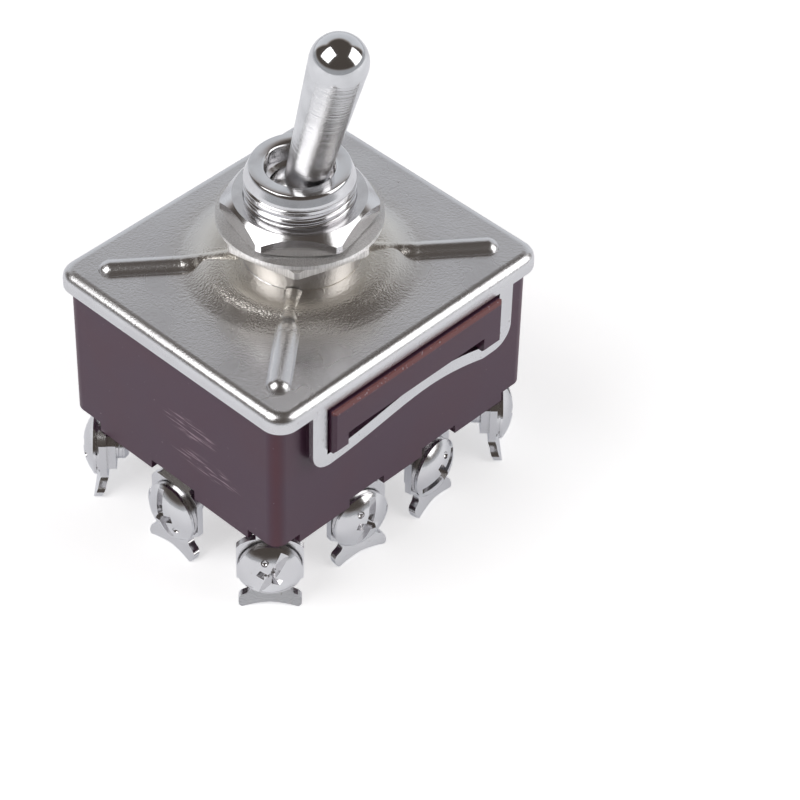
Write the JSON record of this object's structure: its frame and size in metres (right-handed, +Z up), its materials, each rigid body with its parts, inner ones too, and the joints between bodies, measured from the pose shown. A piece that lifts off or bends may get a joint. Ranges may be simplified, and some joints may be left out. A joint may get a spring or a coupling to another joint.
{
  "type": "toggle switch",
  "caption": "Latching panel toggle switch: bat lever in a threaded bushing with nuts and washer, pressed metal cover, moulded maroon housing and screw terminals underneath",
  "frame": {"origin": "on the bushing's axis, at the height of the lowest points of the terminal tails", "axes": "+Z up along the bushing, +X along the row of poles, the lever throws along Y and leans to -Y at rest"},
  "size_m": [0.0424, 0.0364, 0.0625],
  "materials": {
    "cover_plate": "satin nickel plate",
    "housing_moulding": "moulded phenolic, dark maroon",
    "liner_fibre": "vulcanised fibre",
    "bushing_plate": "bright nickel plate",
    "lever_plate": "brushed and nickel plated",
    "upper_nut_plate": "bright nickel plate",
    "lower_nut_plate": "nickel plate, brushed",
    "pin_steel": "ground",
    "screw_plate": "nickel plate",
    "screw_trim": "nickel plate",
    "terminal_plate": "nickel-plated brass",
    "actuator_moulding": "moulded",
    "spring_steel": "drawn wire",
    "plunger_moulding": "moulded",
    "contact_silver": "silver",
    "rocker_brass": "stamped"
  },
  "bodies": {
    "base": {"axle_keepers": "actuator_moulding", "bushing": "bushing_plate", "common_screws": "screw_plate", "cover": "cover_plate", "fixed_contacts_1": "contact_silver", "fixed_contacts_2": "contact_silver", "fixed_contacts_3": "contact_silver", "fixed_contacts_4": "contact_silver", "front_screws": "screw_plate", "housing": "housing_moulding", "liner": "liner_fibre", "lower_nut": "lower_nut_plate", "panel_washer": "lower_nut_plate", "pivot_pin": "pin_steel", "rear_screws": "screw_plate", "retainer_sleeve": "bushing_plate", "rocker_pin_1": "pin_steel", "rocker_pin_2": "pin_steel", "rocker_pin_3": "pin_steel", "rocker_pin_4": "pin_steel", "screw_nuts": "screw_trim", "screw_washers": "screw_trim", "terminal_common_1": "terminal_plate", "terminal_common_2": "terminal_plate", "terminal_common_3": "terminal_plate", "terminal_common_4": "terminal_plate", "terminal_front_1": "terminal_plate", "terminal_front_2": "terminal_plate", "terminal_front_3": "terminal_plate", "terminal_front_4": "terminal_plate", "terminal_rear_1": "terminal_plate", "terminal_rear_2": "terminal_plate", "terminal_rear_3": "terminal_plate", "terminal_rear_4": "terminal_plate", "upper_nut": "upper_nut_plate"},
    "lever": {"lever": "lever_plate"},
    "actuator": {"actuator": "actuator_moulding"},
    "plunger_1": {"plunger_1": "plunger_moulding", "plunger_spring_1": "spring_steel"},
    "rocker_1": {"rocker_1": "rocker_brass", "rocker_contacts_1": "contact_silver"},
    "plunger_2": {"plunger_2": "plunger_moulding", "plunger_spring_2": "spring_steel"},
    "rocker_2": {"rocker_2": "rocker_brass", "rocker_contacts_2": "contact_silver"},
    "plunger_3": {"plunger_3": "plunger_moulding", "plunger_spring_3": "spring_steel"},
    "rocker_3": {"rocker_3": "rocker_brass", "rocker_contacts_3": "contact_silver"},
    "plunger_4": {"plunger_4": "plunger_moulding", "plunger_spring_4": "spring_steel"},
    "rocker_4": {"rocker_4": "rocker_brass", "rocker_contacts_4": "contact_silver"}
  },
  "joints": [
    {"name": "lever_throw", "type": "hinge", "parent": "base", "child": "lever", "pos_m": [0, 0, 0.0384], "axis": [-1, 0, 0], "range_deg": [0, 30]},
    {"name": "actuator_swing", "type": "hinge", "parent": "base", "child": "actuator", "pos_m": [0, 0, 0.0227], "axis": [1, 0, 0], "range_deg": [0, 65.91]},
    {"name": "rocker_1_swing", "type": "hinge", "parent": "base", "child": "rocker_1", "pos_m": [-0.01425, 0, 0.01723], "axis": [-1, 0, 0], "range_deg": [0, 14]},
    {"name": "plunger_1_slide", "type": "slide", "parent": "actuator", "child": "plunger_1", "axis": [0, 0.5439, 0.8391], "range_m": [0, 0.0004], "stiffness_N_per_m": 400, "springref_m": -0.002, "deforming": ["plunger_spring_1"]},
    {"name": "rocker_2_swing", "type": "hinge", "parent": "base", "child": "rocker_2", "pos_m": [-0.00475, 0, 0.01723], "axis": [-1, 0, 0], "range_deg": [0, 14]},
    {"name": "plunger_2_slide", "type": "slide", "parent": "actuator", "child": "plunger_2", "axis": [0, 0.5439, 0.8391], "range_m": [0, 0.0004], "stiffness_N_per_m": 400, "springref_m": -0.002, "deforming": ["plunger_spring_2"]},
    {"name": "rocker_3_swing", "type": "hinge", "parent": "base", "child": "rocker_3", "pos_m": [0.00475, 0, 0.01723], "axis": [-1, 0, 0], "range_deg": [0, 14]},
    {"name": "plunger_3_slide", "type": "slide", "parent": "actuator", "child": "plunger_3", "axis": [0, 0.5439, 0.8391], "range_m": [0, 0.0004], "stiffness_N_per_m": 400, "springref_m": -0.002, "deforming": ["plunger_spring_3"]},
    {"name": "rocker_4_swing", "type": "hinge", "parent": "base", "child": "rocker_4", "pos_m": [0.01425, 0, 0.01723], "axis": [-1, 0, 0], "range_deg": [0, 14]},
    {"name": "plunger_4_slide", "type": "slide", "parent": "actuator", "child": "plunger_4", "axis": [0, 0.5439, 0.8391], "range_m": [0, 0.0004], "stiffness_N_per_m": 400, "springref_m": -0.002, "deforming": ["plunger_spring_4"]}
  ],
  "couplings": [
    {"joint": "actuator_swing", "follows": "lever_throw", "ratio": 2.1967},
    {"joint": "rocker_1_swing", "follows": "lever_throw", "ratio": 0.46666},
    {"joint": "rocker_2_swing", "follows": "lever_throw", "ratio": 0.46666},
    {"joint": "rocker_3_swing", "follows": "lever_throw", "ratio": 0.46666},
    {"joint": "rocker_4_swing", "follows": "lever_throw", "ratio": 0.46666}
  ]
}
